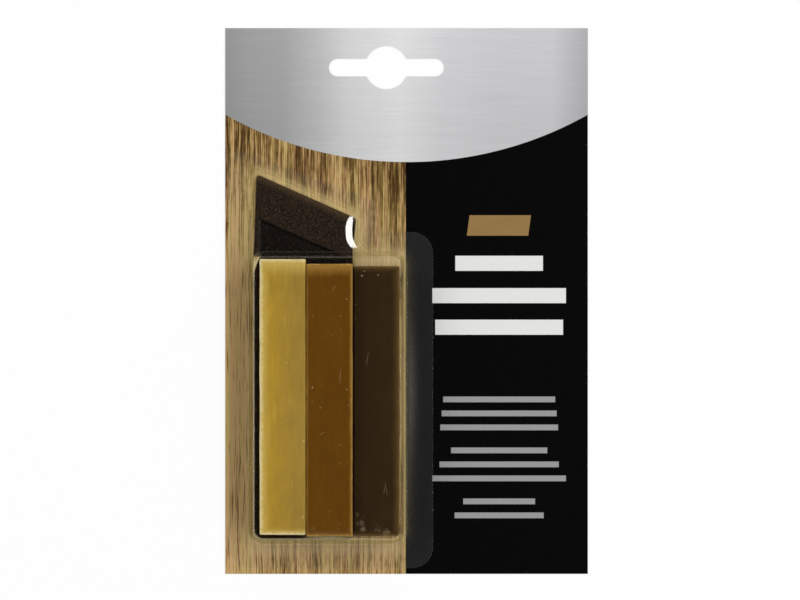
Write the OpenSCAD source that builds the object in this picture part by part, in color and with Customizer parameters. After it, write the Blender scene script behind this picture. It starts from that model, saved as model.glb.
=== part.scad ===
// Furniture repair wax stick set on a hanging card.
// Three wax sticks, light, medium and dark, and a flat applicator lie under a clear formed blister.
// The card lies on its back: X runs across it, Y runs up to the hang hole, and Z rises out of its face.
// The origin is the middle of the card's back.

/* [Backing card] */
// Width of the card
card_w = 101; // [90:1:140]
// Height of the card
card_h = 152; // [146:1:220]
// Thickness of the board
card_t = 0.6; // [0.4:0.05:1.5]

/* [Hang hole] */
// Length of the slot from end to end
slot_l = 32; // [26:0.5:40]
// Height of the slot
slot_h = 4.9; // [3:0.1:8]
// Diameter of the round middle
round_d = 12; // [9:0.5:16]
// Depth of the slot's middle line below the card's top edge
hang_drop = 11; // [9:0.5:14]
// Distance of the hole's middle to the left of the card's middle
hang_shift = 5.6; // [0:0.1:12]

/* [Wax sticks] */
// Width of each stick
stick_w = 12.85; // [11:0.05:13.5]
// Thickness of each stick
stick_t = 11; // [8:0.1:14]
// Length of the light stick
light_l = 76.6; // [70:0.1:80]
// Length of the medium stick
medium_l = 75.7; // [70:0.1:80]
// Length of the dark stick
dark_l = 75; // [70:0.1:80]
// Radius of the sticks' worn edges
stick_edge_r = 0.8; // [0.3:0.1:1.5]
// Play between neighbouring sticks
stick_gap = 0.15; // [0.1:0.05:0.5]
// Distance of the light stick's side from the card's left edge
stick_inset_x = 9.7; // [9.5:0.1:14]
// Distance of the sticks' feet from the card's bottom edge
stick_inset_y = 10.7; // [10:0.1:14]
// Distance by which the light stick's foot lies above the other feet
light_rise = 0.4; // [0:0.1:1]

/* [Applicator] */
// Width of the handle
handle_w = 27.5; // [20:0.5:30]
// Height of the blade's lower end above the sticks' heads
blade_rise = 2.2; // [0.5:0.1:6]
// Thickness of the applicator
applicator_t = 2.4; // [1.6:0.1:4]
// Reach of the blade on its long side
blade_long = 21.7; // [16:0.1:24]
// Reach of the blade on its short side
blade_short = 9.4; // [6:0.1:13]
// Distance by which the blade's long side leans towards the middle
blade_lean_long = 0.8; // [0:0.1:2]
// Distance by which the blade's short side flares outwards
blade_lean_short = 1.1; // [0:0.1:2]
// Thickness left at the blade's working edge
blade_edge_t = 0.7; // [0.4:0.1:1.5]
// Width of the band that tapers to the working edge
blade_band = 10.8; // [6:0.1:12]
// Flat land between the tapered band and the sunken panel
blade_land = 0.5; // [0.3:0.1:2]
// Width of the rim round the sunken panel
rim_w = 1.9; // [1:0.1:4]
// Depth of the sunken panel
panel_d = 0.6; // [0.2:0.1:1]
// Corner radius at the handle's foot
handle_r = 2; // [0.5:0.1:4]
// Radius of the blade's corner on the short side
tip_r = 1.2; // [0.4:0.1:2]
// Radius of the blade's corner on the long side
apex_r = 0.6; // [0.3:0.1:1]
// Corner radius of the sunken panel
panel_r = 0.5; // [0.2:0.1:0.8]
// Distance by which the applicator shows beside the light stick
side_show = 1.7; // [1:0.1:3]
// Distance by which the applicator shows below the sticks' feet
foot_show = 1.3; // [0.5:0.1:2]

/* [Blister] */
// Thickness of the clear film
film_t = 0.4; // [0.25:0.05:0.5]
// Draft angle of the walls
draft = 6; // [3:0.5:9]
// Space between the sticks and the front of the deep cavity
front_gap = 0.3; // [0.1:0.1:2]
// Space between the applicator and the front of the shallow cavity
blade_gap = 1; // [0.6:0.1:3]
// Space beside the light stick in the front of the deep cavity
play_left = 1.3; // [0.5:0.1:3]
// Space beside the dark stick in the front of the deep cavity
play_right = 0.15; // [0.1:0.05:2]
// Space at both ends of the sticks in the front of the deep cavity
play_end = 0.4; // [0.3:0.1:2]
// Space round the applicator at its own height
play_applicator = 0.35; // [0.3:0.05:1]
// Extra space past the blade's working edge
play_blade = 0.7; // [0:0.1:2]
// Corner radius of the deep cavity's front
deep_r = 2.8; // [2:0.1:5]
// Radius of the edge round the deep cavity's front
deep_edge_r = 1.5; // [0.8:0.1:1.9]
// Corner radius of the shallow cavity's front
shallow_r = 1.6; // [1.4:0.1:3]
// Radius of the edge round the shallow cavity's front
shallow_edge_r = 1.1; // [0.6:0.1:1.3]
// Radius of the hollow corner between the two cavities
saddle_r = 6; // [3:0.5:7]
// Radius of the fillet between the walls and the flange
foot_r = 0.6; // [0.3:0.1:1]

/* [Flange] */
// Width of the flange on the left of the deep cavity
flange_left = 7.1; // [5:0.1:7.5]
// Width of the flange on the right of the deep cavity
flange_right = 8.8; // [5:0.1:12]
// Width of the flange below the deep cavity
flange_foot = 8.3; // [5:0.1:8.5]
// Width of the flange above the deep cavity
flange_shoulder = 6.7; // [4:0.1:8]
// Width of the flange beside the shallow cavity
flange_neck = 5.6; // [4:0.1:8]
// Height of the flange above the blade's long side
flange_peak = 8.9; // [6:0.1:10]
// Height of the flange above the blade's short side
flange_brow = 4.9; // [3:0.1:7]
// Corner radius at the flange's foot and shoulder
flange_r = 6; // [3:0.1:8]
// Corner radius at the flange's top
flange_top_r = 3; // [1:0.1:4]
// Radius of the hollow corner at the flange's shoulder
flange_neck_r = 2; // [1:0.1:3]

/* [Hidden] */

// Play between a piece and what it rests on
rest_gap = 0.1;
// Distance that each cut runs past the surface that it opens
overrun = 1;
// Steps in each rounded corner and each rounded edge
arc_steps = 6;
// Steps round a circle
round_steps = 96;

// Places of the sticks and the applicator on the card
light_x = stick_inset_x - card_w / 2;
pitch_x = stick_w + stick_gap;
row_end_x = light_x + 2 * pitch_x + stick_w;
feet_y = stick_inset_y - card_h / 2;
heads_y = feet_y + max(light_rise + light_l, medium_l, dark_l);
handle_x = light_x - side_show;
handle_y = feet_y - foot_show;
applicator_top = card_t + applicator_t;
knee_y = heads_y + blade_rise;
apex = [handle_x + blade_lean_long, knee_y + blade_long];
tip = [handle_x + handle_w + blade_lean_short, knee_y + blade_short];
edge_angle = atan2(tip.y - apex.y, tip.x - apex.x);
edge_slope = (tip.y - apex.y) / (tip.x - apex.x);

// Heights of the two cavities' fronts, outside the film
deep_front = applicator_top + rest_gap + stick_t + front_gap + film_t;
shallow_front = applicator_top + blade_gap + film_t;

// Distance by which a wall has leaned outwards at the applicator's top
deep_lean = (deep_front - applicator_top) * tan(draft);
shallow_lean = (shallow_front - applicator_top) * tan(draft);
// Distance by which the deep cavity's wall has leaned outwards at the shallow cavity's front
step_lean = (deep_front - shallow_front) * tan(draft);

// Front of the deep cavity, before its edges are rounded
deep_left = min(light_x - play_left, handle_x - play_applicator + deep_lean) - film_t;
deep_right = row_end_x + play_right + film_t;
deep_foot = min(feet_y - play_end, handle_y - play_applicator + deep_lean) - film_t;
deep_head = heads_y + play_end + film_t;

// Front of the shallow cavity, before its edges are rounded
blade_play = play_applicator + film_t - shallow_lean;
shallow_left = handle_x - blade_play;
shallow_tip = tip + [blade_play, blade_play];
shallow_edge_y = apex.y + (blade_play + play_blade) / cos(edge_angle);
// The shallow cavity's lower end lies inside the deep one, so that the two open into each other
shallow_lap = deep_r - film_t;
shallow_foot = deep_head - shallow_lap;
shallow_end = deep_right - deep_r;
saddle_y = deep_head + step_lean - film_t / 2;
// The right wall runs along the blade's flaring side
side_slope = blade_lean_short / blade_short;

// Each corner is [x, y, radius], anticlockwise. A negative radius rounds a corner that points inwards.
deep_corners = [
    [deep_left, deep_foot, deep_r],
    [deep_right, deep_foot, deep_r],
    [deep_right, deep_head, deep_r],
    [deep_left, deep_head, deep_r]
];
shallow_corners = [
    [shallow_left, shallow_foot, shallow_r],
    [shallow_end, shallow_foot, shallow_r],
    [shallow_end, saddle_y, shallow_edge_r],
    [shallow_tip.x + (saddle_y - tip.y) * side_slope, saddle_y, -saddle_r],
    [shallow_tip.x, shallow_edge_y + (shallow_tip.x - apex.x) * edge_slope, shallow_r],
    [shallow_left, shallow_edge_y + (shallow_left - apex.x) * edge_slope, shallow_r]
];
flange_corners = [
    [deep_left - flange_left, deep_foot - flange_foot, flange_r],
    [deep_right + flange_right, deep_foot - flange_foot, flange_r],
    [deep_right + flange_right, deep_head + flange_shoulder, flange_r],
    [tip.x + flange_neck, deep_head + flange_shoulder, -flange_neck_r],
    [tip.x + flange_neck, tip.y + flange_brow, flange_top_r],
    [deep_left - flange_left, apex.y + flange_peak, flange_top_r]
];
applicator_corners = [
    [handle_x, handle_y, handle_r],
    [handle_x + handle_w, handle_y, handle_r],
    [handle_x + handle_w, knee_y, -handle_r],
    [tip.x, tip.y, tip_r],
    [apex.x, apex.y, apex_r],
    [handle_x, knee_y, handle_r]
];
panel_top_y = apex.y - (blade_band + blade_land) / cos(edge_angle);
panel_corners = [
    [handle_x + rim_w, handle_y + rim_w, panel_r],
    [handle_x + handle_w - rim_w, handle_y + rim_w, panel_r],
    [handle_x + handle_w - rim_w, panel_top_y + (handle_x + handle_w - rim_w - apex.x) * edge_slope, panel_r],
    [handle_x + rim_w, panel_top_y + (handle_x + rim_w - apex.x) * edge_slope, panel_r]
];

// Unit vector that points out of an anticlockwise outline's side from a to b
function outward(a, b) =
    let (side = [b.x - a.x, b.y - a.y])
    [side.y, -side.x] / norm(side);

// Points of an outline with its corners rounded. grow widens it evenly, round the same arc centres.
function rounded(corners, grow = 0) = [
    for (i = [0 : len(corners) - 1])
        let (
            here = corners[i],
            before = outward(corners[(i + len(corners) - 1) % len(corners)], here),
            after = outward(here, corners[(i + 1) % len(corners)]),
            centre = [here.x, here.y] - here.z * (before + after) / (1 + before * after),
            start = atan2(before.y, before.x),
            turn = atan2(before.x * after.y - before.y * after.x, before * after)
        )
        for (k = [0 : arc_steps])
            let (a = start + turn * k / arc_steps)
            centre + (here.z + grow) * [cos(a), sin(a)]
];

// Section of a cavity's wall from the flange to the front, as [grow, z] pairs: fillet, draft, round edge.
// inset is zero for the film's outer face and film_t for its inner face.
function wall_section(front, edge_r, inset) =
    let (
        foot_z = card_t + film_t + foot_r,
        foot_x = (foot_r + (front - foot_z) * sin(draft)) / cos(draft),
        edge_z = front - edge_r,
        edge_x = -edge_r * (1 - sin(draft)) / cos(draft),
        below = inset > 0 ? overrun : 0
    )
    concat(
        [[foot_x, card_t - below]],
        [
            for (k = [0 : arc_steps])
                let (a = 90 - (90 - draft) * k / arc_steps)
                [foot_x - (foot_r + inset) * cos(a), foot_z - (foot_r + inset) * sin(a)]
        ],
        [
            for (k = [0 : arc_steps])
                let (a = draft + (90 - draft) * k / arc_steps)
                [edge_x + (edge_r - inset) * cos(a), edge_z + (edge_r - inset) * sin(a)]
        ]
    );

// Solid through one ring of the outline at each point of the wall's section
module loft(corners, section) {
    rings = [for (s = section) [for (p = rounded(corners, s.x)) [p.x, p.y, s.y]]];
    count = len(rings[0]);
    last = (len(rings) - 1) * count;
    bottom_face = [for (i = [0 : count - 1]) i];
    top_face = [for (i = [0 : count - 1]) last + (count - i) % count];
    side_faces = [
        for (j = [0 : count : last - count])
            for (i = [0 : count - 1])
                let (next = (i + 1) % count)
                [j + i, j + count + i, j + count + next, j + next]
    ];
    polyhedron(points = [for (r = rings) each r], faces = concat([bottom_face, top_face], side_faces));
}

module rounded_rectangle(w, h, r) {
    for (x = [r, w - r])
        for (y = [r, h - r])
            translate([x, y])
                circle(r = r, $fn = round_steps);
    translate([0, r])
        square([w, h - 2 * r]);
    translate([r, 0])
        square([w - 2 * r, h]);
}

// Bar with all twelve edges rounded: three rounded prisms, one along each axis, keep what they share
module wax_bar(length) {
    intersection() {
        linear_extrude(height = stick_t)
            rounded_rectangle(stick_w, length, stick_edge_r);
        rotate([90, 0, 90])
            linear_extrude(height = stick_w)
                rounded_rectangle(length, stick_t, stick_edge_r);
        translate([0, length, 0])
            rotate([90, 0, 0])
                linear_extrude(height = length)
                    rounded_rectangle(stick_w, stick_t, stick_edge_r);
    }
}

module hang_hole() {
    translate([-hang_shift, card_h / 2 - hang_drop, -overrun]) {
        cylinder(h = card_t + 2 * overrun, d = round_d, $fn = round_steps);
        for (side = [-1, 1])
            translate([side * (slot_l - slot_h) / 2, 0, 0])
                cylinder(h = card_t + 2 * overrun, d = slot_h, $fn = round_steps);
        translate([-(slot_l - slot_h) / 2, -slot_h / 2, 0])
            cube([slot_l - slot_h, slot_h, card_t + 2 * overrun]);
    }
}

module backing_card() {
    color("burlywood")
        difference() {
            translate([-card_w / 2, -card_h / 2, 0])
                cube([card_w, card_h, card_t]);
            hang_hole();
        }
}

// Wedge that thins the blade from its full thickness to its working edge
module blade_taper() {
    fall = (applicator_t - blade_edge_t) / blade_band;
    length = norm(tip - apex) + 2 * blade_band;
    translate([apex.x, apex.y, applicator_top])
        rotate([0, 0, edge_angle])
            translate([-blade_band, 0, 0])
                rotate([90, 0, 90])
                    linear_extrude(height = length)
                        polygon([
                            [-blade_band, 0],
                            [overrun, -fall * (blade_band + overrun)],
                            [overrun, overrun],
                            [-blade_band, overrun]
                        ]);
}

module applicator() {
    color([0.1, 0.085, 0.07])
        difference() {
            translate([0, 0, card_t])
                linear_extrude(height = applicator_t)
                    polygon(rounded(applicator_corners));
            translate([0, 0, applicator_top - panel_d])
                linear_extrude(height = panel_d + overrun)
                    polygon(rounded(panel_corners));
            blade_taper();
        }
}

module wax_stick_light() {
    color([0.69, 0.59, 0.27])
        translate([light_x, feet_y + light_rise, applicator_top + rest_gap])
            wax_bar(light_l);
}

module wax_stick_medium() {
    color([0.36, 0.23, 0.06])
        translate([light_x + pitch_x, feet_y, applicator_top + rest_gap])
            wax_bar(medium_l);
}

// The applicator is narrower than the row, so the dark stick lies lower, on the card itself
module wax_stick_dark() {
    color([0.17, 0.12, 0.07])
        translate([light_x + 2 * pitch_x, feet_y, card_t + rest_gap])
            wax_bar(dark_l);
}

// The film has one thickness throughout: its inner face is the outer one set in along the normal
module blister() {
    color([0.85, 0.9, 0.95, 0.35])
        difference() {
            union() {
                translate([0, 0, card_t])
                    linear_extrude(height = film_t)
                        polygon(rounded(flange_corners));
                loft(deep_corners, wall_section(deep_front, deep_edge_r, 0));
                loft(shallow_corners, wall_section(shallow_front, shallow_edge_r, 0));
            }
            loft(deep_corners, wall_section(deep_front, deep_edge_r, film_t));
            loft(shallow_corners, wall_section(shallow_front, shallow_edge_r, film_t));
        }
}

backing_card();
applicator();
wax_stick_light();
wax_stick_medium();
wax_stick_dark();
blister();
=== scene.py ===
"""Looks of a furniture repair wax stick set.

Three wax sticks and a flat applicator lie under a clear formed blister on a printed hanging card.
X runs across the card, Y up to its hang hole and Z out of its printed face, in metres.
"""

import math

import bpy
import numpy as np
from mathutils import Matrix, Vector
from mathutils.geometry import delaunay_2d_cdt


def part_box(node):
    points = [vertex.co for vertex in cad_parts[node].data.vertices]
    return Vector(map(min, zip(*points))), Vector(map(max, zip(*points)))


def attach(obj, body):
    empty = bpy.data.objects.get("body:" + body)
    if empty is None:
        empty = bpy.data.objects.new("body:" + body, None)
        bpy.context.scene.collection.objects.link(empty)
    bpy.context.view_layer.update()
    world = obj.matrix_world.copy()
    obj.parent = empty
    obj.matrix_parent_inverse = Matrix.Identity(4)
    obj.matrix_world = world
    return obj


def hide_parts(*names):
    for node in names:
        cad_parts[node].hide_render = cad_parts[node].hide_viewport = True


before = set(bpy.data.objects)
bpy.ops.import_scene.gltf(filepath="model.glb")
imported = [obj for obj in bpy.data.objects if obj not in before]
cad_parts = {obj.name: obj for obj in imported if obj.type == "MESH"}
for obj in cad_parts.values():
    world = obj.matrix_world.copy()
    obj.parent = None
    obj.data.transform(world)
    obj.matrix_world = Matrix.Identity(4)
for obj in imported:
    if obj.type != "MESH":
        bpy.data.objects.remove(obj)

bl_info = {
    "name": "Repair wax stick set",
    "version": (1, 0, 0),
    "blender": (4, 5, 0),
    "location": "3D View > Sidebar > Wax sticks",
    "description": "Dresses a carded set of three wax repair sticks and an applicator",
    "category": "Object",
}

MM = 0.001


def node_box(node):
    """Lowest and highest corners of a node of the frame, in millimetres."""
    low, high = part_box(node)
    return np.array(low) / MM, np.array(high) / MM


CARD = node_box("backing_card")
TOOL = node_box("applicator")
LIGHT = node_box("wax_stick_light")
MEDIUM = node_box("wax_stick_medium")
DARK = node_box("wax_stick_dark")
FILM = node_box("blister")


def ink(red, green, blue):
    """Linear colour of a paint given in 0 to 255 steps."""
    return tuple(
        c / 12.92 if c <= 0.04045 else ((c + 0.055) / 1.055) ** 2.4 for c in (red / 255, green / 255, blue / 255)
    ) + (1.0,)


# Node trees written as expressions


class Term:
    """A socket's value, which adds its Math nodes where it is used in an expression."""

    def __init__(self, tree, socket):
        self.tree = tree
        self.socket = socket

    def also(self, output):
        """Another output of the node that gave this value."""
        return Term(self.tree, self.socket.node.outputs[output])

    def math(self, operation, *values):
        return self.tree.node("ShaderNodeMath", dict(enumerate(values)), operation=operation)

    def __add__(self, other):
        return self.math("ADD", self, other)

    def __radd__(self, other):
        return self.math("ADD", other, self)

    def __sub__(self, other):
        return self.math("SUBTRACT", self, other)

    def __rsub__(self, other):
        return self.math("SUBTRACT", other, self)

    def __mul__(self, other):
        return self.math("MULTIPLY", self, other)

    def __rmul__(self, other):
        return self.math("MULTIPLY", other, self)

    def __truediv__(self, other):
        return self.math("DIVIDE", self, other)

    def __rtruediv__(self, other):
        return self.math("DIVIDE", other, self)

    def __pow__(self, other):
        return self.math("POWER", self, other)

    def __abs__(self):
        return self.math("ABSOLUTE", self)

    def least(self, other):
        return self.math("MINIMUM", self, other)

    def most(self, other):
        return self.math("MAXIMUM", self, other)

    def rise(self, low, high):
        """0 up to low and 1 from high on, with a smooth step between them; low may be the larger."""
        inputs = {"Value": self, "From Min": low, "From Max": high}
        return self.tree.node("ShaderNodeMapRange", inputs, interpolation_type="SMOOTHSTEP")


def most_of(terms):
    """The greatest of several values."""
    greatest, *others = terms
    for term in others:
        greatest = greatest.most(term)
    return greatest


class Tree:
    """A node tree that one method fills."""

    def __init__(self, nodes):
        self.nodes = nodes

    def feed(self, made, inputs):
        """Links or sets a node's inputs."""
        for key, value in inputs.items():
            if isinstance(value, Term):
                self.nodes.links.new(value.socket, made.inputs[key])
            else:
                made.inputs[key].default_value = value

    def node(self, kind, inputs=None, output=0, **settings):
        """Adds a node, its settings before its inputs, and gives one of its outputs.
        The stops of a colour ramp, each a (place, tone), are a setting too."""
        made = self.nodes.nodes.new(kind)
        for name, value in settings.items():
            if name == "stops":
                stops = made.color_ramp.elements
                while len(stops) < len(value):
                    stops.new(1.0)
                for stop, (place, tone) in zip(stops, value):
                    stop.position = place
                    stop.color = tone
            else:
                setattr(made, name, value)
        self.feed(made, inputs or {})
        return Term(self, made.outputs[output]) if len(made.outputs) else made

    def split(self, vector):
        """The three parts of a vector, from one node."""
        first = self.node("ShaderNodeSeparateXYZ", {0: vector})
        return first, first.also(1), first.also(2)

    def vector(self, x, y=0.0, z=0.0):
        return self.node("ShaderNodeCombineXYZ", {0: x, 1: y, 2: z})

    def vector_math(self, operation, *vectors, scale=None):
        inputs = dict(enumerate(vectors))
        if scale is not None:
            inputs["Scale"] = scale
        output = 1 if operation == "LENGTH" else 0
        return self.node("ShaderNodeVectorMath", inputs, output, operation=operation)

    def mix(self, share, a, b, blend="MIX"):
        """Colour a with a share of colour b laid over it."""
        return self.node("ShaderNodeMix", {0: share, 6: a, 7: b}, 2, data_type="RGBA", blend_type=blend)

    def shade(self, tone, light):
        """A colour made lighter or darker by a factor."""
        return self.mix(1.0, tone, self.vector(light, light, light), "MULTIPLY")

    def cover(self, share, under, over):
        """Shader under with a share of shader over laid on it."""
        return self.node("ShaderNodeMixShader", {0: share, 1: under, 2: over})

    def noise(self, vector, scale=1.0, detail=2.0, roughness=0.5, seed=0.0):
        """Soft noise from 0 to 1. A scale of three numbers stretches it along the axes."""
        if isinstance(scale, tuple):
            vector, scale = self.vector_math("MULTIPLY", vector, scale), 1.0
        inputs = {"Vector": vector, "W": seed, "Scale": scale, "Detail": detail, "Roughness": roughness}
        return self.node("ShaderNodeTexNoise", inputs, noise_dimensions="4D")

    def specks(self, vector, scale, radius, share):
        """Scattered round specks: radius is a share of a cell, and share the part of the cells that has one."""
        reach = self.node("ShaderNodeTexVoronoi", {"Vector": vector, "Scale": scale})
        chance = self.split(reach.also("Color"))[0]
        return reach.rise(radius, radius * 0.5) * chance.rise(share, share * 0.8)

    def box_mask(self, x, y, box, soft=0.06):
        """1 inside a rectangle (left, foot, right, head) of the card, 0 outside."""
        left, foot, right, head = box
        across = abs(x - (left + right) / 2) - (right - left) / 2
        up = abs(y - (foot + head) / 2) - (head - foot) / 2
        return across.most(up).rise(soft, -soft)

    def ray(self, *kinds):
        """1 for rays of one of the kinds, 0 for the others."""
        path = self.node("ShaderNodeLightPath")
        return most_of([path.also(f"Is {kind} Ray") for kind in kinds])


class Finish(Tree):
    """A material with one Principled shader. Its place is the object's own coordinates in millimetres."""

    def __init__(self, name, constants):
        self.material = bpy.data.materials.new(name)
        self.material.use_nodes = True
        super().__init__(self.material.node_tree)
        self.nodes.nodes.clear()
        self.shader = self.node("ShaderNodeBsdfPrincipled", constants)
        place = self.node("ShaderNodeTexCoord", output="Object")
        self.place = self.vector_math("SCALE", place, scale=1 / MM)

    def bump(self, height, depth, strength):
        """Normal of a relief whose height of 1 stands for depth millimetres."""
        return self.node("ShaderNodeBump", {"Strength": strength, "Distance": depth * MM, "Height": height})

    def done(self, looks=None, surface=None):
        """The material, with the looks that vary linked to its shader and the surface as its output."""
        self.feed(self.shader.socket.node, looks or {})
        self.node("ShaderNodeOutputMaterial", {"Surface": surface or self.shader})
        return self.material


# Outlines and the sheets that follow them


def ramp(value, start, end):
    """0 up to start and 1 from end on, with a straight line between them; start may be the larger."""
    return np.clip((value - start) / (end - start), 0, 1)


def window(value, middle, half):
    """Smooth bump that is 1 at the middle and 0 at half a width away."""
    return np.cos(ramp(np.abs(value - middle), 0, half) * math.pi / 2) ** 2


def round_over(outside, radius):
    """How far a round edge falls at a distance outside an outline, negative inside."""
    near = ramp(outside, -radius, 0)
    return radius * (1 - np.sqrt(np.maximum(1 - near * near, 0)))


def outward(a, b):
    """Unit vector that points out of an anticlockwise outline's side from a to b."""
    x, y = b[0] - a[0], b[1] - a[1]
    return np.array((y, -x)) / math.hypot(x, y)


def rounded(corners, grow=0.0, steps=12):
    """Points of an anticlockwise outline of (x, y, radius) corners, widened evenly.
    A negative radius rounds a hollow corner."""
    points = []
    for i, (x, y, radius) in enumerate(corners):
        before = outward(corners[i - 1], corners[i])
        after = outward(corners[i], corners[(i + 1) % len(corners)])
        centre = np.array((x, y)) - radius * (before + after) / (1 + before @ after)
        start = math.atan2(before[1], before[0])
        turn = math.atan2(before[0] * after[1] - before[1] * after[0], before @ after)
        for a in (start + turn * k / steps for k in range(steps + 1)):
            points.append(centre + (radius + grow) * np.array((math.cos(a), math.sin(a))))
    return np.array(points)


def spaced(loop, step):
    """The loop with extra points on the sides that are longer than step."""
    points = []
    for a, b in zip(loop, np.roll(loop, -1, axis=0)):
        count = max(1, math.ceil(np.linalg.norm(b - a) / step))
        points.extend(a + (b - a) * k / count for k in range(count))
    return np.array(points)


class Outline:
    """A rounded outline that measures how far points lie outside it."""

    def __init__(self, corners):
        self.corners = corners
        self.loop = rounded(corners, 0.0, 24)

    def ring(self, grow, step=1.6):
        return spaced(rounded(self.corners, grow), step)

    def measure(self, points):
        """Distance of each point, negative inside, and the direction in which it grows."""
        a = self.loop
        b = np.roll(a, -1, axis=0)
        side = b - a
        size = np.maximum((side**2).sum(1), 1e-12)
        slope = side[:, 0] / np.where(side[:, 1] == 0, 1e-12, side[:, 1])
        distances, directions = [], []
        for part in np.array_split(points, max(1, len(points) // 2000)):
            to = part[:, None, :] - a
            share = np.clip((to * side).sum(2) / size, 0, 1)
            gap = to - share[..., None] * side
            nearest = (gap**2).sum(2).argmin(1)
            gap = gap[np.arange(len(part)), nearest]
            distance = np.linalg.norm(gap, axis=1)
            crosses = (a[:, 1] > part[:, 1:]) != (b[:, 1] > part[:, 1:])
            left_of = part[:, :1] < a[:, 0] + slope * to[..., 1]
            sign = np.where((crosses & left_of).sum(1) % 2, -1.0, 1.0)
            distances.append(distance * sign)
            directions.append(gap * (sign / np.maximum(distance, 1e-9))[:, None])
        return np.concatenate(distances), np.concatenate(directions)

    def outside(self, points):
        """Distance of each point, negative inside."""
        return self.measure(points)[0]


def closed(ring):
    """A ring, with all its sides kept."""
    return ring, [True] * len(ring)


def line(points):
    """An open line of points; the last one is left out."""
    return points, [True] * (len(points) - 1) + [False]


def plan(border, rings, grid):
    """Points and triangles of the plan inside border. They follow the kept sides of each (ring, keep) and the grid."""
    points = list(border)
    sides = [(i, (i + 1) % len(border)) for i in range(len(border))]
    for ring, keep in rings:
        numbers = {}
        for i in range(len(ring)):
            j = (i + 1) % len(ring)
            if keep[i] and keep[j]:
                for k in (i, j):
                    if k not in numbers:
                        numbers[k] = len(points)
                        points.append(ring[k])
                sides.append((numbers[i], numbers[j]))
    points.extend(grid)
    found = delaunay_2d_cdt([Vector(p) for p in points], sides, [], 1, 1e-4)
    corners = np.array([tuple(p) for p in found[0]])
    triangles = np.array([f for f in found[2] if len(f) == 3])
    a, b, c = (corners[triangles[:, k]] for k in range(3))
    area = (b[:, 0] - a[:, 0]) * (c[:, 1] - a[:, 1]) - (b[:, 1] - a[:, 1]) * (c[:, 0] - a[:, 0])
    triangles[area < 0] = triangles[area < 0][:, ::-1]
    return corners, triangles


def grid_points(low, high, step):
    """A grid of points over a rectangle, every second row shifted by half a step."""
    points = []
    for row, y in enumerate(np.arange(low[1] + step / 2, high[1], step)):
        first = low[0] + step / 2 + (step / 2 if row % 2 else 0.0)
        points.extend((x, y) for x in np.arange(first, high[0], step))
    return np.array(points)


def sheet_solid(name, triangles, top, under, top_normals, under_normals, **shades):
    """A closed mesh between two faces of the same plan, both in millimetres, with its rim walled.
    Shades are named attributes of the top face's points, or of those of both faces."""
    count = len(top)
    sides = dict.fromkeys(side for a, b, c in triangles for side in ((a, b), (b, c), (c, a)))
    rim = [(a, b) for a, b in sides if (b, a) not in sides]
    faces = [tuple(t) for t in triangles] + [tuple(t[::-1] + count) for t in triangles]
    faces += [(a, a + count, b + count, b) for a, b in rim]
    mesh = bpy.data.meshes.new(name)
    mesh.from_pydata((np.concatenate((top, under)) * MM).tolist(), [], faces)
    above = top_normals[triangles].reshape(-1, 3)
    below = under_normals[triangles][:, ::-1].reshape(-1, 3)
    walls = []
    for a, b in rim:
        x, y = top[b][:2] - top[a][:2]
        run = max(math.hypot(x, y), 1e-9)
        walls += [(y / run, -x / run, 0.0)] * 4
    mesh.polygons.foreach_set("use_smooth", [True] * len(mesh.polygons))
    mesh.normals_split_custom_set(np.concatenate((above, below, np.array(walls))).tolist())
    for shade, values in shades.items():
        layer = mesh.attributes.new(shade, "FLOAT", "POINT")
        layer.data.foreach_set("value", np.concatenate((values, np.zeros(2 * count - len(values)))))
    mesh.update()
    return mesh


def normals_of(height, points, outlines, step=0.01):
    """Heights and upward unit normals of height(points, distances), worked out again a small step away."""
    measured = [o.measure(points) for o in outlines]
    slopes = []
    for axis in (0, 1):
        shift = np.eye(2)[axis] * step
        before, after = (
            height(points + s * shift, [m[0] + s * step * m[1][:, axis] for m in measured]) for s in (-1, 1)
        )
        slopes.append((after - before) / (2 * step))
    normals = np.stack((-slopes[0], -slopes[1], np.ones(len(points))), axis=1)
    return height(points, [m[0] for m in measured]), normals / np.linalg.norm(normals, axis=1)[:, None]


def piece(mesh, body, slot, *replaced):
    """Links a mesh as a piece that rides on a body and stands for nodes of the frame."""
    made = bpy.data.objects.new(mesh.name, mesh)
    bpy.context.scene.collection.objects.link(made)
    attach(made, body)
    if replaced:
        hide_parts(*replaced)


# Properties


def number(name, description, default, **more):
    return bpy.props.FloatProperty(name=name, description=description, default=default, **more)


def length(name, description, default, precision=5):
    return number(name, description, default, unit="LENGTH", precision=precision)


def colour(name, description, default):
    return bpy.props.FloatVectorProperty(
        name=name, description=description, default=default, subtype="COLOR", size=4, min=0.0, max=1.0
    )


class CardProperties(bpy.types.PropertyGroup):
    """Print of the backing card, in millimetres."""

    arc_centre: number("Arc centre", "Height of the header arc's centre above the card's middle", 141.9)
    arc_radius: number("Arc radius", "Radius of the arc that ends the silver header", 103.2)
    split_line: number("Split line", "Where the black half of the print begins, from the card's middle", -0.2)
    wood: colour("Wood", "Main tone of the printed wood", ink(140, 113, 69))
    wood_pale: colour("Pale wood", "Tone of the palest fibres", ink(190, 162, 112))
    wood_dark: colour("Dark grain", "Tone of the dark streaks", ink(72, 50, 25))


class StickProperties(bpy.types.PropertyGroup):
    """Shape and tones of the wax sticks."""

    edge_radius: length("Edge radius", "Radius of the worn edges", 0.34 * MM)
    waviness: length("Waviness", "Depth of the shallow dents all over", 0.16 * MM)
    chip_depth: length("Chip depth", "Depth of the chips along the edges", 0.5 * MM)
    mesh_step: length("Mesh step", "Side of the mesh faces", 0.32 * MM)
    light_wax: colour("Light wax", "Face of the light stick", ink(172, 138, 46))
    medium_wax: colour("Medium wax", "Face of the medium stick", ink(96, 60, 4))
    dark_wax: colour("Dark wax", "Face of the dark stick", ink(44, 30, 9))


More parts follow.
